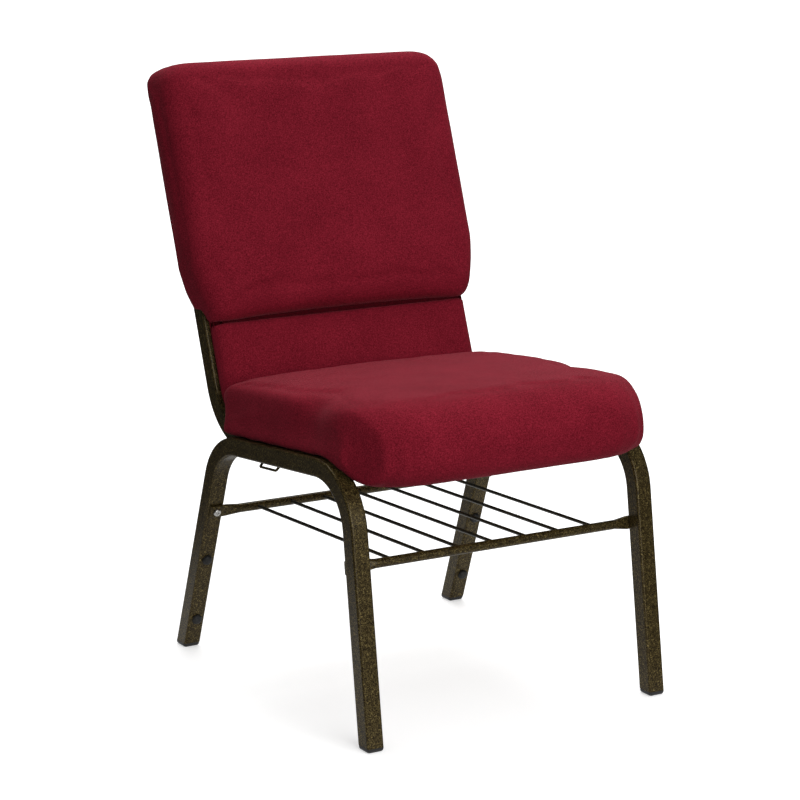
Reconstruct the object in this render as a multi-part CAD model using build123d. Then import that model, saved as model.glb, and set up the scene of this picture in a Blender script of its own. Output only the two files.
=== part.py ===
from build123d import *
import os
from math import acos, cos, radians, sin, sqrt, tan

# Leg frames: each is one square tube bent into a front leg, a side rail and a rear leg
frame_w = 477.0  # over the outer faces of the two leg frames
leg_tube = 25.0  # outside width of the tube
tube_wall = 1.5
tube_corner = 3.0  # outside corner radius of every square tube
leg_bend = 80.0  # centre-line radius of the leg bends
front_foot_y = -305.9  # centre of the front feet on the floor
foot_spacing = 500.6  # front feet to rear feet on the floor
front_rake = 9.5  # lean of the front legs, degrees
rear_rake = 17.4  # lean of the rear legs, degrees
rail_height = 330.01  # centre of the side rails above the floor, over the origin
rail_pitch = 5.6  # climb of the side rails towards the front, degrees

# Back uprights: square tube that lies along the side rails and then turns up
back_tube = 25.0
back_bend = 95.0
back_corner_y = 124.4  # where the upright and the rail centre lines cross
back_recline = 20.8  # degrees from the vertical
upright_len = 455.0  # from the crossing to the top end, along the back
upright_foot = 120.0  # straight length along the rail, forward of the bend

# Cross pieces of the frame
cross_tube = 19.0
front_cross_s = -149.9  # along the rail from the origin
rear_cross_s = 10.1
lower_back_u = 96.0  # up the back from the crossing
strap_down = 35.0  # strap below the top ends of the uprights
strap_w = 25.0
strap_t = 5.0

# Book rack: two round tubes with flattened ends, and wires between them
rack_tube = 12.7
rack_wall = 1.2
rack_front_z = 233.8
rack_rear_z = 221.7
tab_t = 4.5  # thickness of a flattened end
tab_h = 18.5
tab_margin = 2.5  # from the end of the tab to the outer face of the leg
tab_overlap = 2.0  # flat length before the leg
flare_len = 20.0
wire_d = 4.8
wire_count = 7
wire_side = 52.4  # from the inner face of a leg to the nearest wire

# Screws, tee nuts, bumpers and feet
screw_d = 5.0
screw_head_d = 11.0
screw_head_h = 3.6
screw_reach = 8.0  # of a rack screw past the face of the leg
recess_l = 6.0
recess_w = 1.1
recess_deep = 1.6
hole_gap = 0.15  # radial room round screws and stems
nut_barrel_d = 8.0
nut_flange_d = 18.0
nut_flange_t = 1.5
seat_screw_edge = 38.0  # in from the side of the seat board
back_screw_edge = 80.0  # in from the side of the back board's lower part
bumper_d = 15.0
bumper_h = 5.0
bumper_stem_d = 6.0
bumper_stem_l = 7.0
bumper_low_z = 49.0
bumper_high_z = 144.5
glide_base = 6.0  # under the end of the tube
glide_lip = 0.2  # past the tube all round
glide_round = 4.5
glide_plug = 18.0
glide_gap = 0.2

# Ganging: a wire loop under the left rail and a flip-out arm under the right one
gang_s = -43.3  # along the rail from the origin
loop_wire = 3.6
loop_len = 44.0
loop_drop = 6.6  # bar centre below the rail
loop_out = 6.5  # bar centre outboard of the rail centre
loop_bend = 3.0
arm_w = 18.0
arm_t = 1.8
arm_len = 42.0  # rivet to the lip
arm_lip = 11.0
rivet_d = 8.0
rivet_head_d = 14.0
rivet_head_h = 2.5
rivet_upset_d = 12.0
rivet_upset_h = 2.0
rivet_run = 0.05  # radial running clearance of the arm on the rivet
washer_d = 15.0
washer_t = 0.8
arm_play = 0.15  # above and below the arm

# Upholstery in general
cover_t = 1.2
soft_gap = 0.3  # between soft pieces and their neighbours

# Seat cushion, along the rail (s) and above the rail tops (h)
seat_side = 9.5  # sides inside the outer faces of the leg frames
seat_rear = 98.1
seat_front = -324.9
seat_thick = 69.5  # at the rear edge
seat_bow = 3.0  # rise of the top between the rear edge and the nose
seat_crown = 7.0  # rise of the middle over the sides
rear_round = 26.0
nose_top = 69.7
nose_drop = 29.5  # nose below the rail tops
nose_upper_r = 63.0
nose_lower_r = 36.4
seat_edge_r = 30.0  # drawn-in side edges
seat_corner_r = 97.0  # front corners in plan
seat_board_side = 8.3  # inside the uprights
seat_board_rear = 80.1
seat_board_front = -234.9
seat_board_t = 12.0

# Back cushion, up the back (u) and forward of the uprights (v)
pad_low_u = 40.0
crease_u = 155.6
crease_gap = 1.0
back_over = 70.8  # top of the back above the top ends of the uprights
pad_side = 5.5  # inside the inner faces of the leg frames
pad_front = 27.0
pad_round = 22.5  # side edges
pad_end_round = 12.0  # upper and lower edges
pad_rear_round = 4.0
bolster_side = 7.5  # inside the outer faces of the leg frames
bolster_waist = 1.0  # wider than the lower pad at the crease, each side
bolster_full_u = 240.0  # full width from here up
bolster_front = 45.0
bolster_crown = 4.0
bolster_round = 24.0
bolster_rear_round = 20.0
bolster_corner_r = 34.0  # top corners seen from the front
bolster_heel = 42.0  # rear lower edge above the crease
back_board_t = 9.0
back_board_side = 2.3  # inside the inner faces of the leg frames
back_board_low_side = 7.0  # inside the sides of the lower pad
back_board_margin = 40.0  # below the top of the bolster
rear_panel_t = 3.0
rear_panel_side = 10.0  # inside the inner faces of the leg frames

tan_front = tan(radians(front_rake))
tan_rear = tan(radians(rear_rake))
tan_rail = tan(radians(rail_pitch))
rail_dir = Vector(0, cos(radians(rail_pitch)), -sin(radians(rail_pitch)))
rail_up = Vector(0, sin(radians(rail_pitch)), cos(radians(rail_pitch)))
back_up = Vector(0, sin(radians(back_recline)), cos(radians(back_recline)))
back_rear = Vector(0, cos(radians(back_recline)), -sin(radians(back_recline)))
rear_foot_y = front_foot_y + foot_spacing
leg_x = (frame_w - leg_tube) / 2
rail_in_x = frame_w / 2 - leg_tube  # inner faces of the leg frames
upright_x = rail_in_x - back_tube / 2
upright_in_x = rail_in_x - back_tube
seat_half_w = frame_w / 2 - seat_side
seat_board_half = upright_in_x - seat_board_side
seat_screw_x = seat_board_half - seat_screw_edge
upper_back_u = upright_len - strap_down
back_top_u = upright_len + back_over
pad_half_w = rail_in_x - pad_side
bolster_half_w = frame_w / 2 - bolster_side
bolster_waist_w = pad_half_w + bolster_waist
back_board_half = rail_in_x - back_board_side
back_board_low_half = pad_half_w - back_board_low_side
back_screw_x = back_board_low_half - back_screw_edge
rear_panel_half = rail_in_x - rear_panel_side
wire_pitch = 2 * (rail_in_x - wire_side) / (wire_count - 1)

# Seat plane: x runs back along the rails, y stands off the rail tops, z is across the chair
seat_plane = Plane(
    origin=Vector(0, 0, rail_height) + rail_up * (leg_tube / 2), x_dir=rail_dir, z_dir=(1, 0, 0)
)
# Back plane: x is across the chair, y points behind the uprights' front faces, z runs up the back
back_corner = Vector(0, back_corner_y, rail_height - back_corner_y * tan_rail)
back_plane = Plane(origin=back_corner - back_rear * (back_tube / 2), x_dir=(1, 0, 0), z_dir=back_up)


def square_section(size):
    inner = size - 2 * tube_wall
    hollow = RectangleRounded(inner, inner, max(tube_corner - tube_wall, 0.3))
    return RectangleRounded(size, size, tube_corner) - hollow


def along(path, section):
    start = Plane(origin=path @ 0, x_dir=(1, 0, 0), z_dir=path % 0)
    return sweep(start * section, path=path)


def cross_bar(section, half_length):
    # A straight bar across the chair, centred on the middle plane
    return extrude(Plane.YZ * section, amount=half_length, both=True)


def leg_face(x, rear, z):
    # Plane on the inner face of a leg: front face of a rear leg, rear face of a front leg
    if rear:
        normal = Vector(0, -cos(radians(rear_rake)), -sin(radians(rear_rake)))
        centre = Vector(x, rear_foot_y - tan_rear * z, z)
    else:
        normal = Vector(0, cos(radians(front_rake)), -sin(radians(front_rake)))
        centre = Vector(x, front_foot_y + tan_front * z, z)
    return Plane(origin=centre + normal * (leg_tube / 2), x_dir=(1, 0, 0), z_dir=normal)


def rail_corner(foot_y, lean):
    # Where the centre lines of a leg and of the rail cross, as a place along Y
    return (foot_y + lean * rail_height) / (1 + lean * tan_rail)


def front_bend_start():
    # Where the rail's straight part ends at the front bend, along the rail
    corner_y = rail_corner(front_foot_y, tan_front)
    turn = radians(90 - front_rake + rail_pitch)
    return corner_y / cos(radians(rail_pitch)) + leg_bend * tan(turn / 2)


def leg_path(x):
    front_y = rail_corner(front_foot_y, tan_front)
    rear_y = rail_corner(rear_foot_y, -tan_rear)
    below = leg_tube
    return FilletPolyline(
        (x, front_foot_y - tan_front * below, -below),
        (x, front_y, rail_height - tan_rail * front_y),
        (x, rear_y, rail_height - tan_rail * rear_y),
        (x, rear_foot_y + tan_rear * below, -below),
        radius=leg_bend,
    )


def face_hole(x, rear, z, diameter):
    deep = tube_wall * 3
    return leg_face(x, rear, z) * Cylinder(diameter / 2 + hole_gap, 2 * deep)


def leg_frame(side):
    x = side * leg_x
    frame = along(leg_path(x), square_section(leg_tube))
    floor_cut = 4 * leg_tube
    frame -= Pos(0, 0, glide_base - floor_cut / 2) * Box(2 * frame_w, 4 * foot_spacing, floor_cut)
    frame -= face_hole(x, False, rack_front_z, screw_d)
    frame -= face_hole(x, True, rack_rear_z, screw_d)
    for z in (bumper_low_z, bumper_high_z):
        frame -= face_hole(x, True, z, bumper_stem_d)
    if side > 0:
        bore = Cylinder(rivet_d / 2 + hole_gap, tube_wall * 4)
        frame -= gang_plane() * bore
    return frame


def upright_path(x):
    bend_len = back_bend * tan(radians(90 + rail_pitch - back_recline) / 2)
    foot = back_corner - rail_dir * (bend_len + upright_foot)
    top = back_corner + back_up * upright_len
    move = Vector(x, 0, 0)
    return FilletPolyline(foot + move, back_corner + move, top + move, radius=back_bend)


def upright(side):
    return along(upright_path(side * upright_x), square_section(back_tube))


def upright_room():
    # Space that both uprights take in the upholstery
    size = back_tube + 2 * soft_gap
    room = [along(upright_path(side * upright_x), Rectangle(size, size)) for side in (-1, 1)]
    return room[0] + room[1]


def seat_cross(s, half_length):
    bar = cross_bar(square_section(cross_tube), half_length)
    bar = seat_axis(0, s).offset(-cross_tube / 2) * bar
    for x in (-seat_screw_x, seat_screw_x):
        bar -= seat_axis(x, s) * Cylinder(screw_d / 2 + hole_gap, 4 * cross_tube)
    return bar


def seat_axis(x, s):
    # Axis of a seat screw, standing on the underside of the seat board
    return Plane(origin=seat_plane.from_local_coords((s, 0, x)), x_dir=(1, 0, 0), z_dir=rail_up)


def seat_screw_places():
    return [(x, s) for s in (front_cross_s, rear_cross_s) for x in (-seat_screw_x, seat_screw_x)]


def back_axis(x, u, v):
    # Axis of a back screw, pointing forward out of the back
    origin = back_plane.from_local_coords((x, -v, u))
    return Plane(origin=origin, x_dir=(1, 0, 0), z_dir=-back_rear)


def back_screw_places():
    # Place across, place up the back and thickness of the bar that is clamped
    low = [(x, lower_back_u, back_tube) for x in (-back_screw_x, back_screw_x)]
    high = [(x, upper_back_u, strap_t) for x in (-back_screw_x, back_screw_x)]
    return low + high


def lower_back_rail():
    bar = back_plane * Pos(0, back_tube / 2, lower_back_u) * cross_bar(
        square_section(back_tube), upright_in_x
    )
    for x, u, depth in back_screw_places()[:2]:
        bar -= back_axis(x, u, 0) * Cylinder(screw_d / 2 + hole_gap, 4 * back_tube)
    return bar


def upper_back_strap():
    bar = back_plane * Pos(0, strap_t / 2, upper_back_u) * Box(2 * upright_in_x, strap_t, strap_w)
    for x, u, depth in back_screw_places()[2:]:
        bar -= back_axis(x, u, 0) * Cylinder(screw_d / 2 + hole_gap, 4 * strap_t)
    return bar


def rack_axis(rear):
    face = leg_face(0, rear, rack_rear_z if rear else rack_front_z)
    return face.offset(tab_t / 2)


def rack_bar(rear):
    flat_x = rail_in_x - tab_overlap
    round_x = flat_x - flare_len
    end_x = frame_w / 2 - tab_margin
    bore = rack_tube - 2 * rack_wall
    bar = cross_bar(Circle(rack_tube / 2) - Circle(bore / 2), round_x)
    start = Plane.YZ.offset(round_x) * RectangleRounded(rack_tube, rack_tube, 0.495 * rack_tube)
    flat = Plane.YZ.offset(flat_x) * RectangleRounded(tab_h, tab_t, 0.45 * tab_t)
    end = loft([start, flat]) + extrude(flat, amount=end_x - flat_x)
    end -= Pos(leg_x, 0, 0) * Cylinder(screw_d / 2 + hole_gap, 4 * tab_t)
    return rack_axis(rear) * (bar + end + mirror(end, about=Plane.YZ))


def rack_wires():
    rear = rack_axis(True).origin
    front = rack_axis(False).origin
    span = rear - front
    middle = Plane(origin=(front + rear) / 2, x_dir=(1, 0, 0), z_dir=span)
    tube_room = [
        axis * cross_bar(Circle(rack_tube / 2), frame_w / 2)
        for axis in (rack_axis(True), rack_axis(False))
    ]
    wires = []
    for i in range(wire_count):
        x = (i - (wire_count - 1) / 2) * wire_pitch
        wire = middle * Pos(x, 0, 0) * Cylinder(wire_d / 2, span.length)
        wires.append((wire - tube_room[0] - tube_room[1]).solid())
    return Compound(wires)


def pan_screw(reach):
    # Head above the plane, shank below it
    head = Cylinder(screw_head_d / 2, screw_head_h, align=(Align.CENTER, Align.CENTER, Align.MIN))
    head = fillet(head.edges().sort_by(Axis.Z)[-1], 0.6 * screw_head_h)
    for turn in (0, 90):
        slot = Rot(0, 0, turn) * Box(recess_l, recess_w, 2 * recess_deep)
        head -= Pos(0, 0, screw_head_h) * slot
    shank = Cylinder(screw_d / 2, reach, align=(Align.CENTER, Align.CENTER, Align.MAX))
    return (head + shank).solid()


def rack_screws():
    screws = []
    for rear, z in ((True, rack_rear_z), (False, rack_front_z)):
        for side in (-1, 1):
            face = leg_face(side * leg_x, rear, z).offset(tab_t)
            screws.append(face * pan_screw(tab_t + screw_reach))
    return Compound(screws)


def tee_nut(depth):
    # Flange on top of the plane, barrel below it
    flange = Cylinder(nut_flange_d / 2, nut_flange_t, align=(Align.CENTER, Align.CENTER, Align.MIN))
    barrel = Cylinder(nut_barrel_d / 2, depth, align=(Align.CENTER, Align.CENTER, Align.MAX))
    bore = Cylinder(screw_d / 2 + hole_gap, 4 * (depth + nut_flange_t))
    return (flange + barrel - bore).solid()


def tee_nut_room(depth):
    flange = Cylinder(
        nut_flange_d / 2 + hole_gap, nut_flange_t, align=(Align.CENTER, Align.CENTER, Align.MIN)
    )
    return flange + Cylinder(nut_barrel_d / 2 + hole_gap, 4 * depth)


def seat_screws():
    reach = cross_tube + seat_board_t - nut_flange_t
    return Compound(
        [
            seat_axis(x, s).offset(-cross_tube) * Rot(180, 0, 0) * pan_screw(reach)
            for x, s in seat_screw_places()
        ]
    )


def seat_tee_nuts():
    barrel = seat_board_t - nut_flange_t
    return Compound([seat_axis(x, s).offset(barrel) * tee_nut(barrel) for x, s in seat_screw_places()])


def back_screws():
    screws = []
    for x, u, depth in back_screw_places():
        reach = depth + board_v() + back_board_t - nut_flange_t
        screws.append(back_axis(x, u, -depth) * Rot(180, 0, 0) * pan_screw(reach))
    return Compound(screws)


def back_tee_nuts():
    barrel = back_board_t - nut_flange_t
    return Compound(
        [
            back_axis(x, u, board_v() + barrel) * tee_nut(barrel)
            for x, u, depth in back_screw_places()
        ]
    )


def stack_bumpers():
    bumpers = []
    for side in (-1, 1):
        for z in (bumper_low_z, bumper_high_z):
            dome = Cylinder(bumper_d / 2, bumper_h, align=(Align.CENTER, Align.CENTER, Align.MIN))
            dome = fillet(dome.edges().sort_by(Axis.Z)[-1], 0.8 * bumper_h)
            stem = Cylinder(
                bumper_stem_d / 2, bumper_stem_l, align=(Align.CENTER, Align.CENTER, Align.MAX)
            )
            bumpers.append(leg_face(side * leg_x, True, z) * (dome + stem).solid())
    return Compound(bumpers)


def foot_glides(rear):
    foot_y = rear_foot_y if rear else front_foot_y
    lean = -tan_rear if rear else tan_front
    slant = sqrt(1 + lean * lean)
    plug_w = leg_tube - 2 * tube_wall - 2 * glide_gap
    glides = []
    for side in (-1, 1):
        base = Pos(0, lean * glide_base / 2, glide_base / 2) * Box(
            leg_tube + 2 * glide_lip, leg_tube * slant + 2 * glide_lip, glide_base
        )
        base = fillet(base.edges().group_by(Axis.Z)[0] + base.edges().filter_by(Axis.Z), glide_round)
        stem = Plane(origin=(0, 0, 0), x_dir=(1, 0, 0), z_dir=(0, lean, 1))
        corner = max(tube_corner - tube_wall, 0.3)
        plug = stem * extrude(RectangleRounded(plug_w, plug_w, corner), amount=glide_plug)
        plug -= Pos(0, 0, -plug_w + glide_base / 2) * Box(4 * plug_w, 4 * plug_w, 2 * plug_w)
        glides.append(Pos(side * leg_x, foot_y, 0) * (base + plug).solid())
    return Compound(glides)


def gang_plane():
    # On the underside of the right rail at the rivet; z points down, y runs back along the rail
    origin = seat_plane.from_local_coords((gang_s, -leg_tube, leg_x))
    return Plane(origin=origin, x_dir=(-1, 0, 0), z_dir=-rail_up)


def gang_loop():
    # On the underside of the left rail: x is outboard, y runs back along the rail, z points down
    origin = seat_plane.from_local_coords((gang_s, -leg_tube, -leg_x))
    under = Plane(origin=origin, x_dir=(-1, 0, 0), z_dir=-rail_up)
    half = loop_len / 2
    inboard = -loop_out / loop_drop * leg_tube
    path = FilletPolyline(
        (inboard, -half, -leg_tube),
        (loop_out, -half, loop_drop),
        (loop_out, half, loop_drop),
        (inboard, half, -leg_tube),
        radius=loop_bend,
    )
    start = Plane(origin=path @ 0, z_dir=path % 0)
    wire = sweep(start * Circle(loop_wire / 2), path=path)
    rail_room = Pos(0, 0, -2 * leg_tube) * Box(8 * leg_tube, 4 * loop_len, 4 * leg_tube)
    return under * (wire - rail_room)


def gang_arm():
    # Stowed: the arm lies back along the rail with its lip turned down
    top = washer_t + arm_play
    blade = Pos(0, arm_len / 2, top + arm_t / 2) * Box(arm_w, arm_len, arm_t)
    eye = Pos(0, 0, top + arm_t / 2) * Cylinder(arm_w / 2, arm_t)
    lip = Pos(0, arm_len - arm_t / 2, top + (arm_t + arm_lip) / 2) * Box(arm_w, arm_t, arm_t + arm_lip)
    arm = blade + eye + lip
    arm -= Cylinder(rivet_d / 2 + rivet_run, 8 * arm_t)
    return gang_plane() * arm


def gang_washer():
    washer = Pos(0, 0, washer_t / 2) * Cylinder(washer_d / 2, washer_t)
    washer -= Cylinder(rivet_d / 2 + hole_gap, 4 * washer_t)
    return gang_plane() * washer


def gang_rivet():
    grip = washer_t + arm_t + 2 * arm_play
    shank_top = -tube_wall
    shank = Pos(0, 0, shank_top) * Cylinder(
        rivet_d / 2, grip - shank_top, align=(Align.CENTER, Align.CENTER, Align.MIN)
    )
    head = Pos(0, 0, grip) * Cylinder(
        rivet_head_d / 2, rivet_head_h, align=(Align.CENTER, Align.CENTER, Align.MIN)
    )
    upset = Pos(0, 0, shank_top) * Cylinder(
        rivet_upset_d / 2, rivet_upset_h, align=(Align.CENTER, Align.CENTER, Align.MAX)
    )
    return gang_plane() * (shank + head + upset)


def arc_drop(radius, distance):
    # Set-back of a rounded edge at a distance in from its end
    if distance >= radius:
        return 0.0
    return radius - sqrt(radius * radius - (radius - distance) ** 2)


def quarter(centre, radius, start_deg):
    points = [
        (centre[0] + radius * cos(radians(a)), centre[1] + radius * sin(radians(a)))
        for a in (start_deg, start_deg + 45, start_deg + 90)
    ]
    return ThreePointArc(*points)


def seat_outline(inset, drop, setback, crown):
    # Side outline of the seat: the underside follows the rail and the front bend of the leg
    bend_r = leg_bend + leg_tube / 2
    hug_r = bend_r + soft_gap + inset
    bend_s = front_bend_start()
    base = soft_gap + inset
    rear = seat_rear - inset - drop
    top = seat_thick + crown - inset - drop
    peak = nose_top + crown - inset - drop
    front = seat_front + setback + inset
    low = -nose_drop + inset + drop
    sweep_angle = acos((low + bend_r) / hug_r)
    hug_s = bend_s - hug_r * sin(sweep_angle)
    half = sweep_angle / 2
    rear_r = rear_round - drop
    upper_r = nose_upper_r - inset - drop
    lower_r = min(nose_lower_r - inset - drop, hug_s - front - 1, peak - upper_r - low - 1)
    bow_s = (rear + front) / 2
    bow_h = (top + peak) / 2 + seat_bow
    edges = [
        Line((bend_s, base), (rear, base)),
        Line((rear, base), (rear, top - rear_r)),
        quarter((rear - rear_r, top - rear_r), rear_r, 0),
        ThreePointArc((rear - rear_r, top), (bow_s, bow_h), (front + upper_r, peak)),
        quarter((front + upper_r, peak - upper_r), upper_r, 90),
        Line((front, peak - upper_r), (front, low + lower_r)),
        quarter((front + lower_r, low + lower_r), lower_r, 180),
        Line((front + lower_r, low), (hug_s, low)),
        ThreePointArc(
            (hug_s, low),
            (bend_s - hug_r * sin(half), hug_r * cos(half) - bend_r),
            (bend_s, base),
        ),
    ]
    return make_face(edges)


def seat_envelope(inset):
    # Sections across the chair, closer together where the sides and front corners round off
    half_w = seat_half_w - inset
    steps = [0.6, 2.5, 6.0, 12.0, 20.0, 30.0, 50.0, 75.0, 105.0, 160.0]
    places = [-half_w + d for d in steps] + [0.0] + [half_w - d for d in reversed(steps)]
    sections = []
    for x in places:
        distance = half_w - abs(x)
        drop = arc_drop(seat_edge_r - inset, distance)
        setback = arc_drop(seat_corner_r - inset, distance)
        crown = seat_crown * (1 - (x / half_w) ** 2)
        sections.append(seat_plane.offset(x) * seat_outline(inset, drop, setback, crown))
    return loft(sections, ruled=True)


def seat_board_box(gap):
    length = seat_board_rear - seat_board_front + 2 * gap
    middle = (seat_board_rear + seat_board_front) / 2
    height = seat_board_t + gap
    box = Box(length, height, 2 * (seat_board_half + gap))
    return seat_plane * Pos(middle, height / 2, 0) * box


def seat_board():
    board = seat_board_box(0)
    barrel = seat_board_t - nut_flange_t
    for x, s in seat_screw_places():
        board -= seat_axis(x, s).offset(barrel) * tee_nut_room(barrel)
    return board


def seat_foam():
    return seat_envelope(cover_t + soft_gap) - seat_board_box(soft_gap) - upright_room()


def seat_cover():
    shell = seat_envelope(0) - seat_envelope(cover_t)
    return shell - seat_board_box(soft_gap) - upright_room()


def board_v():
    # Front face of the uprights to the back board: one layer of cover between them
    return cover_t + 2 * soft_gap


def back_outline(half_w, front, rear, front_r, rear_r, crown):
    # Section across the back: flat behind, crowned in front, rounded at the sides
    front_x = half_w - front_r
    rear_x = half_w - rear_r
    edges = [
        Line((-rear_x, rear), (rear_x, rear)),
        quarter((rear_x, rear - rear_r), rear_r, 0),
        Line((half_w, rear - rear_r), (half_w, front_r - front)),
        quarter((front_x, front_r - front), front_r, -90),
        ThreePointArc((front_x, -front), (0, -front - crown), (-front_x, -front)),
        quarter((-front_x, front_r - front), front_r, 180),
        Line((-half_w, front_r - front), (-half_w, rear - rear_r)),
        quarter((-rear_x, rear - rear_r), rear_r, 90),
    ]
    return make_face(edges)


def bolster_rear():
    return back_tube + soft_gap + rear_panel_t + soft_gap + cover_t


def bolster_envelope(inset):
    low = crease_u + crease_gap / 2 + inset
    high = back_top_u - inset
    taper = bolster_full_u - crease_u
    low_steps = [0.4, 3.0, 9.0, 22.0, 50.0]
    high_steps = [36.0, 20.0, 9.0, 3.0, 0.6]
    places = [low + d for d in low_steps] + [bolster_full_u, (low + high) / 2]
    places += [high - d for d in high_steps]
    sections = []
    for u in places:
        waist = (bolster_half_w - bolster_waist_w) * max(0.0, 1 - (u - crease_u) / taper) ** 1.4
        side = waist + arc_drop(bolster_corner_r - inset, high - u) + inset
        front_drop = arc_drop(bolster_round - inset, min(high - u, u - low)) + inset
        rear_drop = arc_drop(bolster_rear_round - inset, high - u) + inset
        front = bolster_front - front_drop
        rear = bolster_rear() - rear_drop
        front_r = min(bolster_round - inset, 0.6 * (front + rear))
        rear_r = min(bolster_rear_round - inset, 0.3 * (front + rear))
        crown = bolster_crown * min(1.0, (high - u) / taper, (u - low) / taper)
        face = back_outline(bolster_half_w - side, front, rear, front_r, rear_r, crown)
        sections.append(back_plane.offset(u) * face)
    block = loft(sections, ruled=True)
    # The underside slopes up from the crease to the heel behind the uprights
    slope = Polyline(
        (0, crease_u + inset),
        (bolster_rear(), crease_u + bolster_heel + inset),
        (4 * bolster_rear(), crease_u + bolster_heel + inset),
        (4 * bolster_rear(), 0),
        (0, 0),
        close=True,
    )
    heel = extrude(Plane.YZ * make_face(slope), amount=frame_w, both=True)
    return block - back_plane * heel


def pad_envelope(inset):
    low = pad_low_u + inset
    high = crease_u - crease_gap / 2 - inset
    steps = [0.4, 3.0, 8.0, 16.0]
    places = [low + d for d in steps] + [(low + high) / 2] + [high - d for d in reversed(steps)]
    rear_face = soft_gap + inset
    sections = []
    for u in places:
        near = min(high - u, u - low)
        front = pad_front - arc_drop(pad_end_round - inset, near) - inset
        half_w = pad_half_w - inset
        front_r = min(pad_round - inset, 0.8 * (front - rear_face))
        rear_r = min(pad_rear_round - inset, 0.15 * (front - rear_face))
        crown = bolster_crown * near / (high - low)
        sections.append(
            back_plane.offset(u) * back_outline(half_w, front, -rear_face, front_r, rear_r, crown)
        )
    return loft(sections, ruled=True)


def back_board_box(gap):
    low = pad_low_u + cover_t + 2 * soft_gap - gap
    step = crease_u + bolster_heel
    high = back_top_u - back_board_margin + gap
    depth = back_board_t + 2 * gap
    v = -board_v() - back_board_t / 2
    lower = Pos(0, v, (low + step) / 2) * Box(2 * (back_board_low_half + gap), depth, step - low)
    upper = Pos(0, v, (step + high) / 2) * Box(2 * (back_board_half + gap), depth, high - step)
    return back_plane * (lower + upper)


def back_board():
    board = back_board_box(0) - upright_room()
    barrel = back_board_t - nut_flange_t
    for x, u, depth in back_screw_places():
        board -= back_axis(x, u, board_v() + barrel) * tee_nut_room(barrel)
    return board


def rear_panel_box(gap):
    low = crease_u + bolster_heel + cover_t + 2 * soft_gap - gap
    high = back_top_u - back_board_margin + gap
    v = back_tube + soft_gap + rear_panel_t / 2
    size = Box(2 * (rear_panel_half + gap), rear_panel_t + 2 * gap, high - low)
    return back_plane * Pos(0, v, (low + high) / 2) * size


def back_pocket():
    # Hollow of the bolster between the rear panel and the back board, where the uprights stand
    high = back_top_u - back_board_margin + soft_gap
    depth = 2 * (back_tube + soft_gap + rear_panel_t) + board_v()
    box = Box(2 * (rail_in_x + soft_gap), depth, 2 * high)
    return back_plane * Pos(0, depth / 2 - board_v(), 0) * box


def back_foam_upper():
    foam = bolster_envelope(cover_t + soft_gap)
    return (foam - back_board_box(soft_gap) - back_pocket()).solid()


def back_foam_lower():
    return pad_envelope(cover_t + soft_gap) - back_board_box(soft_gap) - upright_room()


def back_screw_room():
    hole = Cylinder(screw_d / 2 + hole_gap, 4 * back_tube)
    return Compound([back_axis(x, u, 0) * hole for x, u, depth in back_screw_places()])


def back_cover_upper():
    shell = bolster_envelope(0) - bolster_envelope(cover_t)
    return shell - back_board_box(soft_gap) - upright_room()


def back_cover_lower():
    shell = pad_envelope(0) - pad_envelope(cover_t)
    return shell - back_board_box(soft_gap) - back_screw_room() - upright_room()


os.makedirs("parts", exist_ok=True)
nodes = {
    "left_leg_frame": leg_frame(-1),
    "right_leg_frame": leg_frame(1),
    "left_upright": upright(-1),
    "right_upright": upright(1),
    "front_cross_rail": seat_cross(front_cross_s, rail_in_x),
    "rear_cross_rail": seat_cross(rear_cross_s, upright_in_x),
    "lower_back_rail": lower_back_rail(),
    "upper_back_strap": upper_back_strap(),
    "rack_front_tube": rack_bar(False),
    "rack_rear_tube": rack_bar(True),
    "rack_wires": rack_wires(),
    "rack_screws": rack_screws(),
    "stack_bumpers": stack_bumpers(),
    "front_glides": foot_glides(False),
    "rear_glides": foot_glides(True),
    "gang_loop": gang_loop(),
    "gang_arm": gang_arm(),
    "gang_washer": gang_washer(),
    "gang_rivet": gang_rivet(),
    "seat_board": seat_board(),
    "seat_tee_nuts": seat_tee_nuts(),
    "seat_screws": seat_screws(),
    "seat_foam": seat_foam(),
    "seat_cover": seat_cover(),
    "back_board": back_board(),
    "back_tee_nuts": back_tee_nuts(),
    "back_screws": back_screws(),
    "back_rear_panel": rear_panel_box(0),
    "back_foam_upper": back_foam_upper(),
    "back_foam_lower": back_foam_lower(),
    "back_cover_upper": back_cover_upper(),
    "back_cover_lower": back_cover_lower(),
}
for name, shape in nodes.items():
    export_step(shape, f"parts/{name}.step")
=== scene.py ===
from math import acos, cos, degrees, exp, radians, sin

import bmesh
import bpy
from mathutils import Matrix, Vector, noise


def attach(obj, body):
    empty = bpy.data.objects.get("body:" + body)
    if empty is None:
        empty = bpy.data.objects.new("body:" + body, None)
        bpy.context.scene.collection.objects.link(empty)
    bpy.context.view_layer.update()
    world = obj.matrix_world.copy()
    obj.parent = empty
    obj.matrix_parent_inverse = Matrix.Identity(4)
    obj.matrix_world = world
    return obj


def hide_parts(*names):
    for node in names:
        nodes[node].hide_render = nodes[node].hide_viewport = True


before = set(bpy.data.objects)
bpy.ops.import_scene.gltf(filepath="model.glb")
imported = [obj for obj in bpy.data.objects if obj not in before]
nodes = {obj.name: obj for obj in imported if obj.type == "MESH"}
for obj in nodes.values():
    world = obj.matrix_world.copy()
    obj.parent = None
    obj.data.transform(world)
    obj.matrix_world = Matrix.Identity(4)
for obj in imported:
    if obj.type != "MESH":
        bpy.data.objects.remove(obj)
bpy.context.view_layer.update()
scene = bpy.context.scene
bpy.ops.object.select_all(action="DESELECT")


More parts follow.
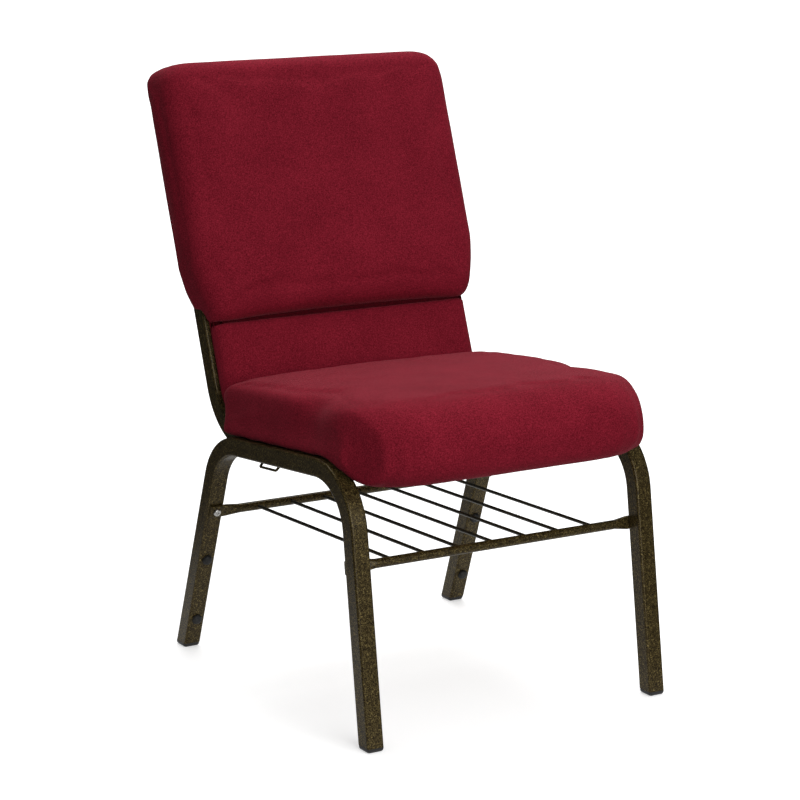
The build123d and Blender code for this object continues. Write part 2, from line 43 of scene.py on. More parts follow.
# Steel frame: leg frames, uprights and rails of bent square tube welded together, with the rack's
# tubes, the gang loop and the gang hook. All are powder coated in an antique bronze: a near-black
# brown ground, a fine wormy vein of dull gold that crawls as the coat cures, and a semi-gloss skin.
ground_brown = (0.0085, 0.0052, 0.0014)
dull_bronze = (0.050, 0.034, 0.0095)
vein_gold = (0.270, 0.205, 0.074)


def blank_material(name):
    # A fresh material with its node tree and its shader
    material = bpy.data.materials.new(name)
    material.use_nodes = True
    tree = material.node_tree
    return material, tree, tree.nodes["Principled BSDF"]


def add_node(tree, kind, **values):
    node = tree.nodes.new(kind)
    for key, value in values.items():
        setattr(node, key, value)
    return node


def on_piece(tree):
    # The place of a point on the piece itself, so that a pattern stays with it
    return add_node(tree, "ShaderNodeTexCoord").outputs["Object"]


def speckle(tree, place, scale, detail=2.0, roughness=0.5, distortion=0.0):
    # Cloudy noise, for veins, scuffs, wood grain and slubs
    node = add_node(tree, "ShaderNodeTexNoise")
    node.inputs["Scale"].default_value = scale
    node.inputs["Detail"].default_value = detail
    node.inputs["Roughness"].default_value = roughness
    node.inputs["Distortion"].default_value = distortion
    tree.links.new(place, node.inputs["Vector"])
    return node.outputs["Fac"]


def grade(tree, socket, pattern, *stops):
    # Drives a socket of the shader by a ramp of colours over the pattern
    node = add_node(tree, "ShaderNodeValToRGB")
    elements = node.color_ramp.elements
    while len(elements) < len(stops):
        elements.new(0.5)
    for element, (place, colour) in zip(elements, stops):
        element.position = place
        element.color = (*colour, 1.0)
    tree.links.new(pattern, node.inputs["Fac"])
    tree.links.new(node.outputs["Color"], socket)


def grey(level):
    return (level, level, level)


def bump(tree, shader, height, distance, strength, under=None):
    # Raises the surface by the pattern, on top of another relief where one is given
    node = add_node(tree, "ShaderNodeBump")
    node.inputs["Distance"].default_value = distance
    node.inputs["Strength"].default_value = strength
    tree.links.new(height, node.inputs["Height"])
    if under is not None:
        tree.links.new(under.outputs["Normal"], node.inputs["Normal"])
    tree.links.new(node.outputs["Normal"], shader.inputs["Normal"])
    return node


def dress(material, *node_names):
    for name in node_names:
        slots = nodes[name].data.materials
        slots.clear()
        slots.append(material)


bronze_coat, tree, shader = blank_material("bronze_vein_coat")
crawl = speckle(tree, on_piece(tree), scale=520.0, detail=3.0, roughness=0.62, distortion=1.6)
vein = ((0.38, ground_brown), (0.54, dull_bronze), (0.68, vein_gold))
grade(tree, shader.inputs["Base Color"], crawl, *vein)
grade(tree, shader.inputs["Roughness"], crawl, (0.35, grey(0.30)), (0.7, grey(0.46)))
shader.inputs["Metallic"].default_value = 0.45
shader.inputs["Specular IOR Level"].default_value = 0.2
shader.inputs["Coat Weight"].default_value = 0.12
shader.inputs["Coat Roughness"].default_value = 0.16
bump(tree, shader, crawl, distance=0.00025, strength=0.55)
dress(
    bronze_coat,
    "left_leg_frame", "right_leg_frame", "left_upright", "right_upright",
    "front_cross_rail", "rear_cross_rail", "lower_back_rail", "upper_back_strap",
    "rack_front_tube", "rack_rear_tube", "gang_loop", "gang_arm",
)

# Book rack wires: round steel rod, butt-welded between the two rack tubes and coated with them.
# The coat runs thin on the rod, so the wires read darker and smoother than the tubes.
thin_coat = (0.012, 0.012, 0.008)
thick_coat = (0.075, 0.062, 0.035)

wire_coat, tree, shader = blank_material("dark_wire_coat")
crawl = speckle(tree, on_piece(tree), scale=700.0)
grade(tree, shader.inputs["Base Color"], crawl, (0.42, thin_coat), (0.72, thick_coat))
shader.inputs["Roughness"].default_value = 0.36
shader.inputs["Metallic"].default_value = 0.45
bump(tree, shader, crawl, distance=0.0001, strength=0.2)
dress(wire_coat, "rack_wires")

# Screws, tee nuts and the hook's rivet: cold-headed steel with bright zinc plate.
# The plate is slightly cloudy and finely pitted.
cloudy_zinc = (0.50, 0.50, 0.48)
clear_zinc = (0.70, 0.70, 0.69)

zinc_plate, tree, shader = blank_material("bright_zinc")
cloud = speckle(tree, on_piece(tree), scale=900.0)
grade(tree, shader.inputs["Base Color"], cloud, (0.35, cloudy_zinc), (0.65, clear_zinc))
grade(tree, shader.inputs["Roughness"], cloud, (0.3, grey(0.24)), (0.7, grey(0.40)))
shader.inputs["Metallic"].default_value = 1.0
bump(tree, shader, cloud, distance=0.0001, strength=0.3)
dress(
    zinc_plate,
    "rack_screws", "seat_screws", "seat_tee_nuts", "back_screws", "back_tee_nuts", "gang_rivet",
)

# Stacking bumpers: moulded black rubber buttons pressed into the front faces of the rear legs.
# They keep stacked frames apart, and the rubber has a faint grey bloom.
fresh_rubber = (0.008, 0.008, 0.008)
rubber_bloom = (0.030, 0.029, 0.027)

black_rubber, tree, shader = blank_material("black_rubber")
bloom = speckle(tree, on_piece(tree), scale=260.0, detail=5.0)
grade(tree, shader.inputs["Base Color"], bloom, (0.35, fresh_rubber), (0.75, rubber_bloom))
shader.inputs["Roughness"].default_value = 0.5
shader.inputs["Specular IOR Level"].default_value = 0.3
bump(tree, shader, bloom, distance=0.0002, strength=0.4)
dress(black_rubber, "stack_bumpers")


# Foot glides and the hook's washer: moulded black nylon, the glides plugged into the tube ends.
# Their soles are scuffed paler where they meet the floor.
clean_nylon = (0.010, 0.010, 0.010)
scuffed_nylon = (0.055, 0.052, 0.048)
scuff_height = 0.004


def plug(tree, socket, value):
    # Puts a number straight onto a socket, or links another node's output to it
    if isinstance(value, float):
        socket.default_value = value
    else:
        tree.links.new(value, socket)


def calculate(tree, operation, first, second):
    node = add_node(tree, "ShaderNodeMath", operation=operation)
    plug(tree, node.inputs[0], first)
    plug(tree, node.inputs[1], second)
    return node.outputs["Value"]


def level_over(tree, value, near, far, level_near, level_far, curve="LINEAR"):
    # Goes from one level to the other while the value goes from near to far
    node = add_node(tree, "ShaderNodeMapRange", interpolation_type=curve)
    node.inputs["From Min"].default_value = near
    node.inputs["From Max"].default_value = far
    node.inputs["To Min"].default_value = level_near
    node.inputs["To Max"].default_value = level_far
    tree.links.new(value, node.inputs["Value"])
    return node.outputs["Result"]


black_nylon, tree, shader = blank_material("black_nylon")
place = on_piece(tree)
scuff = speckle(tree, place, scale=420.0, detail=6.0)
height = add_node(tree, "ShaderNodeSeparateXYZ")
tree.links.new(place, height.inputs["Vector"])
near_floor = level_over(
    tree, height.outputs["Z"], near=0.0, far=scuff_height, level_near=0.5, level_far=0.0
)
worn = calculate(tree, "MULTIPLY", scuff, near_floor)
grade(tree, shader.inputs["Base Color"], worn, (0.0, clean_nylon), (0.4, scuffed_nylon))
shader.inputs["Roughness"].default_value = 0.42
bump(tree, shader, scuff, distance=0.0002, strength=0.35)
dress(black_nylon, "front_glides", "rear_glides", "gang_washer")

# Seat board, back board and rear panel: rotary-cut plywood, left bare because cloth hides nearly
# all of it, apart from the underside of the seat board. The grain runs across the chair.
late_wood = (0.30, 0.17, 0.075)
mid_wood = (0.52, 0.34, 0.17)
early_wood = (0.62, 0.44, 0.25)
grain_stretch = (0.12, 1.0, 1.0)

plywood, tree, shader = blank_material("bare_plywood")
lie = add_node(tree, "ShaderNodeMapping")
lie.inputs["Scale"].default_value = grain_stretch
tree.links.new(on_piece(tree), lie.inputs["Vector"])
grain = speckle(tree, lie.outputs["Vector"], scale=90.0, detail=8.0, distortion=1.2)
figure = ((0.3, late_wood), (0.55, mid_wood), (0.75, early_wood))
grade(tree, shader.inputs["Base Color"], grain, *figure)
shader.inputs["Roughness"].default_value = 0.72
bump(tree, shader, grain, distance=0.0006, strength=0.4)
dress(plywood, "seat_board", "back_board", "back_rear_panel")


# Seat cushion: a moulded foam block on the seat board, with a waterfall nose that rolls down
# in front of the frame. The cover is burgundy plain-weave cloth, pulled down over the sides,
# hollowed where it is drawn in behind the nose, and tacked under the board.
cloth_shade = (0.080, 0.0030, 0.0078)
cloth_red = (0.160, 0.0068, 0.0160)
cloth_light = (0.260, 0.0150, 0.0310)
cloth_sheen = (1.0, 0.31, 0.35, 1.0)


def mix_values(tree, factor, first, second):
    node = add_node(tree, "ShaderNodeMix", data_type="FLOAT")
    plug(tree, node.inputs[0], factor)
    plug(tree, node.inputs[2], first)
    plug(tree, node.inputs[3], second)
    return node.outputs[0]


def woven_cloth(name):
    # Two crossed threads of about a millimetre that follow the cloth, in a slightly mixed dye lot
    material, tree, shader = blank_material(name)
    coordinates = add_node(tree, "ShaderNodeTexCoord")
    place = coordinates.outputs["Object"]
    threads = []
    for direction in ("X", "Y"):
        wave = add_node(tree, "ShaderNodeTexWave", bands_direction=direction)
        wave.inputs["Scale"].default_value = 300.0
        wave.inputs["Distortion"].default_value = 1.6
        wave.inputs["Detail"].default_value = 1.0
        wave.inputs["Detail Scale"].default_value = 1.4
        tree.links.new(coordinates.outputs["UV"], wave.inputs["Vector"])
        threads.append(wave.outputs["Fac"])
    weave = calculate(tree, "MULTIPLY", calculate(tree, "ADD", *threads), 0.5)
    slub = speckle(tree, place, scale=600.0, detail=3.0, roughness=0.7)
    lot = speckle(tree, place, scale=16.0, detail=3.0)
    yarn = mix_values(tree, 0.75, weave, slub)
    dyed = mix_values(tree, 0.10, yarn, lot)
    dye = ((0.39, cloth_shade), (0.50, cloth_red), (0.61, cloth_light))
    grade(tree, shader.inputs["Base Color"], dyed, *dye)
    shader.inputs["Roughness"].default_value = 0.9
    shader.inputs["Specular IOR Level"].default_value = 0.05
    shader.inputs["Sheen Weight"].default_value = 0.16
    shader.inputs["Sheen Roughness"].default_value = 0.32
    shader.inputs["Sheen Tint"].default_value = cloth_sheen
    fine = bump(tree, shader, weave, distance=0.0004, strength=0.35)
    bump(tree, shader, slub, distance=0.0005, strength=0.3, under=fine)
    return material


burgundy_cloth = woven_cloth("burgundy_cloth")


def pick(*pieces):
    # Selects these pieces alone, with the first one active
    bpy.ops.object.select_all(action="DESELECT")
    for piece in pieces:
        piece.select_set(True)
    bpy.context.view_layer.objects.active = pieces[0]


def foam_blank(name, node_name, voxel):
    # The pad starts as its foam, a little smaller than the finished cover, in an even net
    blank = bpy.data.objects.new(name, nodes[node_name].data.copy())
    scene.collection.objects.link(blank)
    pick(blank)
    bpy.ops.object.mode_set(mode="EDIT")
    bpy.ops.mesh.select_all(action="SELECT")
    bpy.ops.mesh.remove_doubles(threshold=0.00002)
    bpy.ops.object.mode_set(mode="OBJECT")
    net = blank.modifiers.new("even_net", "REMESH")
    net.mode = "VOXEL"
    net.voxel_size = voxel
    bpy.ops.object.modifier_apply(modifier=net.name)
    lie = blank.modifiers.new("lie_on_foam", "SHRINKWRAP")
    lie.wrap_method = "NEAREST_SURFACEPOINT"
    lie.target = nodes[node_name]
    bpy.ops.object.modifier_apply(modifier=lie.name)
    return blank


def relax(pad, passes, keep):
    # Takes the steps of the net out without drawing the pad in: each pull is partly given back
    pull_in = 0.5
    give_back = -0.46
    work = bmesh.new()
    work.from_mesh(pad.data)
    loose = [v for v in work.verts if not keep(v.co)]
    for _ in range(passes):
        for pull in (pull_in, give_back):
            bmesh.ops.smooth_vert(
                work, verts=loose, factor=pull, use_axis_x=True, use_axis_y=True, use_axis_z=True
            )
    work.to_mesh(pad.data)
    work.free()


def move_points(pad, shift):
    # Moves each point by a vector worked out from its place and its outward direction
    pad.data.update()
    moved = [v.co + shift(v.co, v.normal) for v in pad.data.vertices]
    for vertex, place in zip(pad.data.vertices, moved):
        vertex.co = place
    pad.data.update()


def inflate(pad, tacked, pressure, reach):
    # The stretched cover swells against the foam; what is tacked down stays
    settle_frames = 20
    group = pad.vertex_groups.new(name="tacked")
    held = [v.index for v in pad.data.vertices if tacked(v.co)]
    group.add(held, 1.0, "REPLACE")
    start = [(v.co.copy(), v.normal.copy()) for v in pad.data.vertices]
    cloth = pad.modifiers.new("cover_cloth", "CLOTH")
    settings = cloth.settings
    settings.quality = 4
    settings.mass = 0.3
    settings.tension_stiffness = 40.0
    settings.compression_stiffness = 40.0
    settings.shear_stiffness = 20.0
    settings.bending_stiffness = 6.0
    settings.use_pressure = True
    settings.uniform_pressure_force = pressure
    settings.vertex_group_mass = group.name
    settings.effector_weights.gravity = 0.0
    cloth.collision_settings.use_collision = False
    for step in range(1, settle_frames + 1):
        scene.frame_set(step)
    settled = pad.evaluated_get(bpy.context.evaluated_depsgraph_get())
    swollen = settled.to_mesh()
    for vertex, soft, (first, outward) in zip(pad.data.vertices, swollen.vertices, start):
        travel = soft.co - first
        travel -= outward * min(0.0, travel.dot(outward))
        if travel.length > reach:
            travel *= reach / travel.length
        vertex.co = first + travel
    settled.to_mesh_clear()
    pad.modifiers.remove(cloth)
    pad.vertex_groups.remove(group)
    scene.frame_set(1)
    pad.data.update()


def lay_weave(pad, up):
    # The threads run across the chair and along the pad, or up it on the sides
    along = Vector((0.0, up.z, -up.y))
    across = Vector((1.0, 0.0, 0.0))
    frames = {0: (along, up), 1: (across, up), 2: (across, along)}
    while pad.data.uv_layers:
        pad.data.uv_layers.remove(pad.data.uv_layers[0])
    sheet = pad.data.uv_layers.new(name="weave").data
    points = [v.co.copy() for v in pad.data.vertices]
    for face in pad.data.polygons:
        facing = (abs(face.normal.x), abs(face.normal.dot(along)), abs(face.normal.dot(up)))
        warp, weft = frames[facing.index(max(facing))]
        for corner, point in zip(face.loop_indices, face.vertices):
            sheet[corner].uv = (points[point].dot(warp), points[point].dot(weft))


def finish_pad(pad, material, up):
    # Rounds the net off, lays the weave on it and gives it the cloth
    pick(pad)
    smooth = pad.modifiers.new("smooth_cover", "SUBSURF")
    smooth.levels = 1
    smooth.render_levels = 1
    bpy.ops.object.modifier_apply(modifier=smooth.name)
    bpy.ops.object.shade_smooth()
    lay_weave(pad, up)
    pad.data.materials.clear()
    pad.data.materials.append(material)


tube_half = 0.0125
rail_height = 0.33001
rail_pitch = radians(5.6)
rail_back = Vector((0.0, cos(rail_pitch), -sin(rail_pitch)))
rail_up = Vector((0.0, sin(rail_pitch), cos(rail_pitch)))
rail_top = Vector((0.0, tube_half * sin(rail_pitch), rail_height + tube_half * cos(rail_pitch)))


def on_seat(point):
    # Distance back along the rails and height above them
    offset = point - rail_top
    return offset.dot(rail_back), offset.dot(rail_up)


def share(distance, span):
    # Climbs from nothing to one over the span and stays there
    return min(1.0, max(0.0, distance / span))


def hump(distance, width):
    # One in the middle, fading away to both sides
    return exp(-((distance / width) ** 2))


no_move = Vector((0.0, 0.0, 0.0))
cover_thickness = 0.0014

# Where the foam lies on the board and is notched round the uprights
board_top = 0.0135
board_half_width = 0.1815
board_front = -0.2365
board_rear = 0.0815
notch_top = 0.045
notch_inner = 0.186
notch_outer = 0.216
notch_front = 0.045

# The hollow behind the nose, where the cover is drawn in and down at both sides
side_foot = 0.004
side_rise = 0.060
crown_half_width = 0.140
crown_fall = 0.085
saddle_place = -0.150
saddle_width = 0.038
saddle_draw = 0.010
saddle_drop = 0.004
saddle_fade = 0.9

# The seams that stand up round the side panels, and the flat of the panels beside the nose
seat_seam = 0.0055
nose_seam = 0.0020
top_sharpness = 1.12
side_hollow = 0.005
front_hollow = 0.0015
corner_seam = 0.004
corner_sharpness = 2.2
seam_onset = 3.0
clear_of_zero = 0.001

# The swell over the rails, the droop under the nose and the ripple of the cloth
rail_front = -0.24
rail_swell = 0.0045
swell_height = 0.006
swell_width = 0.014
nose_start = -0.235
nose_blend = 0.03
nose_droop = 0.003
droop_top = 0.030
droop_blend = 0.05
seat_ripple = 0.0005
seat_ripple_scale = 22.0


def panel_seams(outward, s, saddle):
    # Lifts the seams along the side panels' edges and flattens the panels beside the nose
    up = max(0.0, outward.dot(rail_up))
    front = max(0.0, -outward.dot(rail_back))
    nosing = front ** 2 / (front ** 2 + up ** 2 + clear_of_zero)
    # Minus one where the cover faces sideways, nought at the edge, one where it faces up or forward
    turned = degrees(acos(min(1.0, abs(outward.x)))) / 45.0 - 1.0
    top_seam = seat_seam if s > saddle_place else nose_seam
    top_edge = top_seam * max(0.0, 1.0 - top_sharpness * abs(turned)) ** 2
    hollow = side_hollow if turned < 0.0 else front_hollow
    flat_panel = hollow * (1.0 - (2.0 * abs(turned) - 1.0) ** 2)
    corner_edge = corner_seam * max(0.0, 1.0 - corner_sharpness * abs(turned)) - flat_panel
    seamed = top_edge * (1.0 - nosing) ** 2 + corner_edge * nosing
    return seamed * min(1.0, seam_onset * (up + front)) * (1.0 - saddle_fade * saddle)


def seat_shape(point, outward):
    # Leaves the board and the notches at the uprights bare, and shapes the cover elsewhere
    s, h = on_seat(point)
    aside = abs(point.x)
    on_board = h < board_top and aside < board_half_width and board_front < s < board_rear
    in_notch = h < notch_top and notch_inner < aside < notch_outer and s > notch_front
    if on_board or in_notch:
        return no_move
    side = -1.0 if point.x < 0 else 1.0
    climb = share(h - side_foot, side_rise)
    edge = share(aside - crown_half_width, crown_fall) ** 2
    saddle = hump(s - saddle_place, saddle_width)
    drawn_in = saddle_draw * saddle * edge * climb
    dropped = saddle_drop * saddle * edge * climb ** 2
    crisp = panel_seams(outward, s, saddle)
    over_rail = 0.0
    if s > rail_front:
        over_rail = rail_swell * hump(h - swell_height, swell_width) * abs(outward.x)
    nose = share(nose_start - s, nose_blend) * share(droop_top - h, droop_blend)
    ripple = seat_ripple * noise.noise(point * seat_ripple_scale)
    pull = Vector((side * (over_rail - drawn_in), 0.0, 0.0))
    lowered = rail_up * (dropped + nose_droop * nose)
    return pull - lowered + outward * (cover_thickness + ripple + crisp)


tack_top = 0.016
tack_front = -0.245


def seat_tacked(point):
    s, h = on_seat(point)
    return h < tack_top and s > tack_front


seat_cushion = foam_blank("seat_cushion", "seat_foam", voxel=0.005)
relax(seat_cushion, passes=12, keep=seat_tacked)
move_points(seat_cushion, seat_shape)
relax(seat_cushion, passes=2, keep=seat_tacked)
inflate(seat_cushion, seat_tacked, pressure=4.0, reach=0.003)
relax(seat_cushion, passes=2, keep=seat_tacked)
finish_pad(seat_cushion, burgundy_cloth, rail_up)
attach(seat_cushion, "chair")
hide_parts("seat_foam", "seat_cover")


# Back bolster: a thick foam pad over the upper half of the back board, closed behind by a panel.
# The same cloth is drawn round it, folded into a small pleat at each top corner, and pulled
# into a deep crease where the bolster overhangs the lower pad.
recline = radians(20.8)
back_up = Vector((0.0, sin(recline), cos(recline)))
back_rear = Vector((0.0, cos(recline), -sin(recline)))
rail_slope = 0.09805
crossing_place = 0.1244
crossing = Vector((0.0, crossing_place, rail_height - crossing_place * rail_slope))
back_foot = crossing - back_rear * tube_half

# The hollow behind the foam for the board and the uprights
pocket_depth = 0.0125
pocket_top = 0.4875
pocket_half_width = 0.2145

# The lower lip, which arches over the crease and is tacked behind it
lip_half_width = 0.205
lip_top = 0.190
lip_blend = 0.030
lip_rear = 0.013
lip_rear_blend = 0.006
lip_lift = 0.001
lip_arch = 0.0060
lip_tack_top = 0.20
lip_tack_depth = 0.016
rear_edge = -0.012

# The pleats in the top corners and the ripple of the cloth
corner_side = 0.185
corner_height = 0.475
corner_blend = 0.04
pleat_swell = 0.005
pleat_pinch = 0.007
pleat_rear = -0.02
pleat_blend = 0.05
bolster_ripple = 0.0006
bolster_ripple_scale = 18.0


def on_back(point):
    # Height up the back and distance in front of the uprights
    offset = point - back_foot
    return offset.dot(back_up), -offset.dot(back_rear)


def in_pocket(point):
    # The hollow of the bolster that holds the board and the uprights
    u, v = on_back(point)
    return v < pocket_depth and u < pocket_top and abs(point.x) < pocket_half_width


def bolster_shape(point, outward):
    # Lifts the lip over the crease into an arch and folds a pleat into each top corner
    if in_pocket(point):
        return no_move
    u, v = on_back(point)
    middle = max(0.0, 1.0 - (point.x / lip_half_width) ** 2)
    tuck = share(lip_top - u, lip_blend) * share(v - lip_rear, lip_rear_blend)
    corner = share(abs(point.x) - corner_side, corner_blend) * share(u - corner_height, corner_blend)
    pleat = corner * (pleat_swell - pleat_pinch * share(v - pleat_rear, pleat_blend))
    ripple = bolster_ripple * noise.noise(point * bolster_ripple_scale)
    spread = Vector((pleat if point.x > 0 else -pleat, 0.0, 0.0))
    raised = back_up * ((lip_lift + lip_arch * middle) * tuck + pleat)
    return outward * (cover_thickness + ripple) + spread + raised


def bolster_tacked(point):
    u, v = on_back(point)
    under_lip = u < lip_tack_top and v < lip_tack_depth
    return v < rear_edge or in_pocket(point) or under_lip


back_bolster = foam_blank("back_bolster", "back_foam_upper", voxel=0.006)
relax(back_bolster, passes=12, keep=bolster_tacked)
move_points(back_bolster, bolster_shape)
inflate(back_bolster, bolster_tacked, pressure=4.0, reach=0.003)
finish_pad(back_bolster, burgundy_cloth, back_up)
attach(back_bolster, "chair")
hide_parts("back_foam_upper", "back_cover_upper")


# Outer back panel: a thin board wrapped in the same cloth and pressed into the back of the
# bolster, behind the uprights. Its edges are rolled, so a shallow groove runs round it.
panel_half_width = 0.2136
panel_middle = 0.342
panel_half_height = 0.144
panel_crown_rise = 0.0012
panel_rear_face = -0.028


def cloth_panel(name, half_width, low, high, front, rear, roll, across=0.0):
    # A slab square to the back, between two distances behind the front faces of the uprights
    bpy.ops.object.select_all(action="DESELECT")
    bpy.ops.mesh.primitive_cube_add(size=1.0, calc_uvs=False)
    panel = bpy.context.object
    panel.name = name
    panel.scale = (2.0 * half_width, rear - front, high - low)
    bpy.ops.object.transform_apply(location=False, rotation=False, scale=True)
    bpy.ops.object.mode_set(mode="EDIT")
    bpy.ops.mesh.select_all(action="SELECT")
    bpy.ops.mesh.subdivide(number_cuts=24)
    bpy.ops.object.mode_set(mode="OBJECT")
    edge = panel.modifiers.new("rolled_edge", "BEVEL")
    edge.width = roll
    edge.segments = 3
    edge.limit_method = "ANGLE"
    bpy.ops.object.modifier_apply(modifier=edge.name)
    stand = Matrix((Vector((1.0, 0.0, 0.0)), back_rear, back_up)).transposed().to_4x4()
    stand.translation = back_foot + back_rear * (front + rear) / 2.0 + back_up * (low + high) / 2.0
    stand.translation.x += across
    panel.matrix_world = stand
    bpy.ops.object.transform_apply(location=True, rotation=True, scale=True)
    return panel


def panel_crown(point, outward):
    # The cloth stands a little proud in the middle of the rear face
    u, v = on_back(point)
    if v >= panel_rear_face:
        return no_move
    sideways = 1.0 - (point.x / panel_half_width) ** 2
    upright = max(0.0, 1.0 - ((u - panel_middle) / panel_half_height) ** 2)
    return back_rear * panel_crown_rise * (sideways * upright)


outer_panel = cloth_panel(
    "outer_back_panel", panel_half_width, low=0.1985, high=0.4862, front=0.0252, rear=0.0296, roll=0.0018
)
move_points(outer_panel, panel_crown)
finish_pad(outer_panel, burgundy_cloth, back_up)
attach(outer_panel, "chair")


# Lower back pad: a thin foam pad on the lower half of the back board, covered in the same cloth.
# It runs from the crease down behind the seat, its sides stop just inside the uprights, and the
# cloth closes flat behind the board.
pad_rear = 0.0125
pad_half_width = 0.2025
pad_cover = 0.0013
pad_top = 0.154
pad_tuck = 0.014
pad_tuck_bulge = 0.003
pad_tuck_lift = 0.0008
pad_tack_height = 0.150


def pad_shape(point, outward):
    # Swells the top edge forward into the crease and leaves the side on the board bare
    u, v = on_back(point)
    if v < pad_rear and abs(point.x) < pad_half_width:
        return no_move
    tuck = min(1.0, max(0.0, 1.0 - (pad_top - u) / pad_tuck))
    return outward * pad_cover - back_rear * pad_tuck_bulge * tuck ** 2 + back_up * pad_tuck_lift * tuck


def pad_tacked(point):
    u, v = on_back(point)
    return v < pad_rear or u > pad_tack_height


lower_pad = foam_blank("lower_back_pad", "back_foam_lower", voxel=0.004)
relax(lower_pad, passes=8, keep=pad_tacked)
move_points(lower_pad, pad_shape)
inflate(lower_pad, pad_tacked, pressure=4.0, reach=0.0025)
lining = cloth_panel(
    "pad_lining", half_width=0.2055, low=0.0425, high=0.1985, front=-0.0015, rear=-0.0003, roll=0.0004
)
pick(lower_pad, lining)
bpy.ops.object.join()
finish_pad(lower_pad, burgundy_cloth, back_up)
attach(lower_pad, "chair")
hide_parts("back_foam_lower", "back_cover_lower")

# Crease shade sheet: a near-black sheet with a woven look, painted shade that stands in for the shadow
# in the crease.
# It lies deep between the bolster and the lower pad, turns in at both ends and closes the crease.
# Both colours are painted shade: the dark of the crease, laid on as a thin sheet.
crease_shade_dark = (0.026, 0.0010, 0.0024)
crease_shade_light = (0.056, 0.0022, 0.0050)
shade_sheet_low = 0.1490
shade_sheet_front = -0.0123
shade_sheet_roll = 0.0004
shade_sheet_half_width = 0.2066
shade_sheet_end_place = 0.2032
shade_sheet_end_half_width = 0.0012

painted_crease_shade, tree, shader = blank_material("painted_crease_shade_sheet")
ribs = speckle(tree, on_piece(tree), scale=640.0, detail=3.0)
grade(tree, shader.inputs["Base Color"], ribs, (0.40, crease_shade_dark), (0.60, crease_shade_light))
shader.inputs["Roughness"].default_value = 0.95
shader.inputs["Specular IOR Level"].default_value = 0.05
bump(tree, shader, ribs, distance=0.0004, strength=0.4)

shade_sheet_root = cloth_panel(
    "shade_sheet_root", shade_sheet_half_width, shade_sheet_low, high=0.1625, front=shade_sheet_front, rear=-0.0111, roll=shade_sheet_roll
)
strips = [shade_sheet_root]
for name, end in (("shade_sheet_left", -shade_sheet_end_place), ("shade_sheet_right", shade_sheet_end_place)):
    turned_in = cloth_panel(
        name, shade_sheet_end_half_width, shade_sheet_low, high=0.1640,
        front=shade_sheet_front, rear=-0.0004, roll=shade_sheet_roll, across=end,
    )
    strips.append(turned_in)
# The front strip of the same painted shade, just inside the opening of the crease.
crease_shade_sheet = cloth_panel(
    "crease_shade_sheet", half_width=0.1950, low=0.1515, high=0.1690, front=-0.0192, rear=-0.0176, roll=0.0005
)
pick(crease_shade_sheet, *strips)
bpy.ops.object.join()
crease_shade_sheet.data.materials.append(painted_crease_shade)
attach(crease_shade_sheet, "chair")


# Floor: a wide sheet of pale paper that the chair stands on. To the camera it reads as white and
# keeps the soft shadow, and away from the chair it throws little light back at the frame.
floor_size = 40.0
floor_gap = 0.0002
paper_white = 0.82

bpy.ops.object.select_all(action="DESELECT")
bpy.ops.mesh.primitive_plane_add(size=floor_size, location=(0.0, 0.0, -floor_gap))
floor = bpy.context.object
floor.name = "floor"
bpy.ops.object.transform_apply(location=True, rotation=True, scale=True)
paper, tree, shader = blank_material("white_paper")
shader.inputs["Roughness"].default_value = 0.9
shader.inputs["Specular IOR Level"].default_value = 0.0
path = add_node(tree, "ShaderNodeLightPath")
by_camera = path.outputs["Is Camera Ray"]
from_chair = add_node(tree, "ShaderNodeVectorMath", operation="LENGTH")
tree.links.new(on_piece(tree), from_chair.inputs[0])


def fade(near, far, level_near, level_far):
    # Goes smoothly from one level to the other with the distance from the chair
    away = from_chair.outputs["Value"]
    return level_over(tree, away, near, far, level_near, level_far, curve="SMOOTHSTEP")


bounce = fade(near=0.55, far=1.0, level_near=0.52, level_far=0.05)
tree.links.new(mix_values(tree, by_camera, bounce, paper_white), shader.inputs["Base Color"])
sheen_on_frame = fade(near=0.35, far=0.75, level_near=0.26, level_far=0.0)
mirrored = calculate(tree, "MULTIPLY", path.outputs["Is Glossy Ray"], sheen_on_frame)
white_out = fade(near=0.5, far=3.5, level_near=0.48, level_far=1.0)
glow = mix_values(tree, by_camera, mirrored, white_out)
shader.inputs["Emission Color"].default_value = (1.0, 1.0, 1.0, 1.0)
tree.links.new(glow, shader.inputs["Emission Strength"])
floor.data.materials.append(paper)

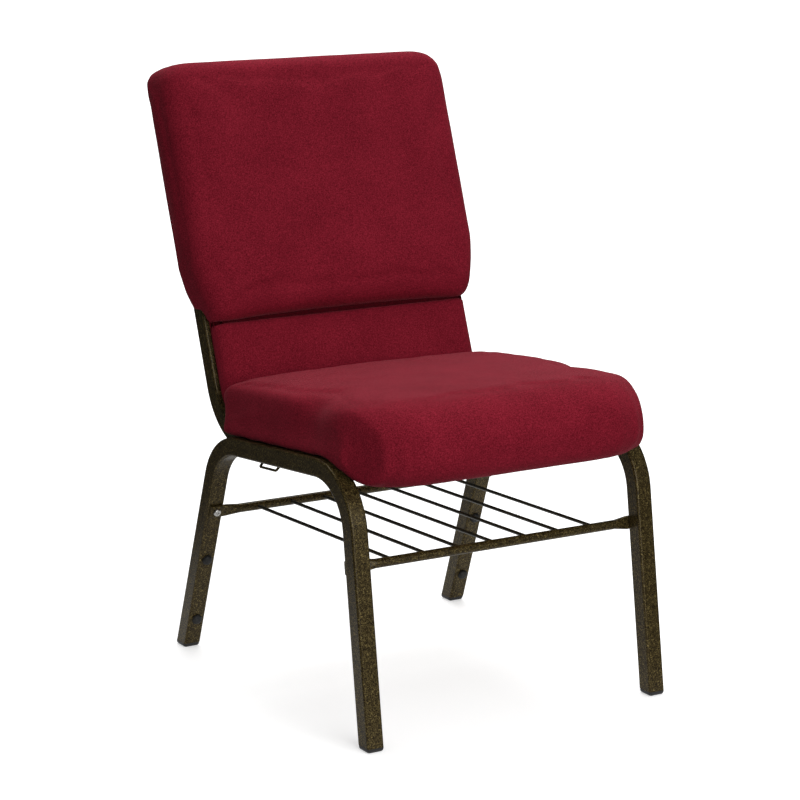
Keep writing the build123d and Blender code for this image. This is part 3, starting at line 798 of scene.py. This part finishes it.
# Studio light: a large soft box in front of the chair, to the right of the camera, a second one
# above and behind the chair, and an even white surround, which the frame's gloss hardly mirrors.
world = bpy.data.worlds.new("white_surround")
scene.world = world
world.use_nodes = True
tree = world.node_tree
sky = tree.nodes["Background"]
path = add_node(tree, "ShaderNodeLightPath")
dimmed = level_over(
    tree, path.outputs["Is Glossy Ray"], near=0.0, far=1.0, level_near=0.52, level_far=0.04
)
brightness = calculate(tree, "MAXIMUM", path.outputs["Is Camera Ray"], dimmed)
tree.links.new(brightness, sky.inputs["Strength"])
sky.inputs["Color"].default_value = (1.0, 1.0, 1.0, 1.0)


def soft_box(name, place, target, size, power):
    lamp = bpy.data.lights.new(name, "AREA")
    lamp.shape = "DISK"
    lamp.size = size
    lamp.energy = power
    holder = bpy.data.objects.new(name, lamp)
    scene.collection.objects.link(holder)
    holder.location = place
    aim = Vector(target) - Vector(place)
    holder.rotation_euler = aim.to_track_quat("-Z", "Y").to_euler()


soft_box("key_box", place=(-0.10, -2.1, 1.05), target=(0.0, 0.0, 0.43), size=2.0, power=30.0)
soft_box("top_box", place=(0.6, 0.8, 2.6), target=(0.0, 0.0, 0.4), size=1.8, power=48.0)

# Camera: a long lens about four metres from the chair, at the photograph's place and angle.
# It stands in front of the chair and to its left, looks down on it and is rolled by a degree.
camera_place = (-2.0548, -3.2326, 1.2773)
turn = radians(-32.483)
lift = radians(13.265)
roll = radians(0.98)

camera_data = bpy.data.cameras.new("photo_camera")
camera = bpy.data.objects.new("photo_camera", camera_data)
scene.collection.objects.link(camera)
camera_data.sensor_width = 36.0
camera_data.lens = 127.68
camera_data.clip_end = 100.0
back = Vector((sin(turn) * cos(lift), -cos(turn) * cos(lift), sin(lift)))
level_right = Vector((cos(turn), sin(turn), 0.0))
level_up = back.cross(level_right)
right = level_right * cos(roll) + level_up * sin(roll)
upward = level_up * cos(roll) - level_right * sin(roll)
stand = Matrix((right, upward, back)).transposed().to_4x4()
stand.translation = camera_place
camera.matrix_world = stand
scene.camera = camera

scene.view_settings.view_transform = "Standard"
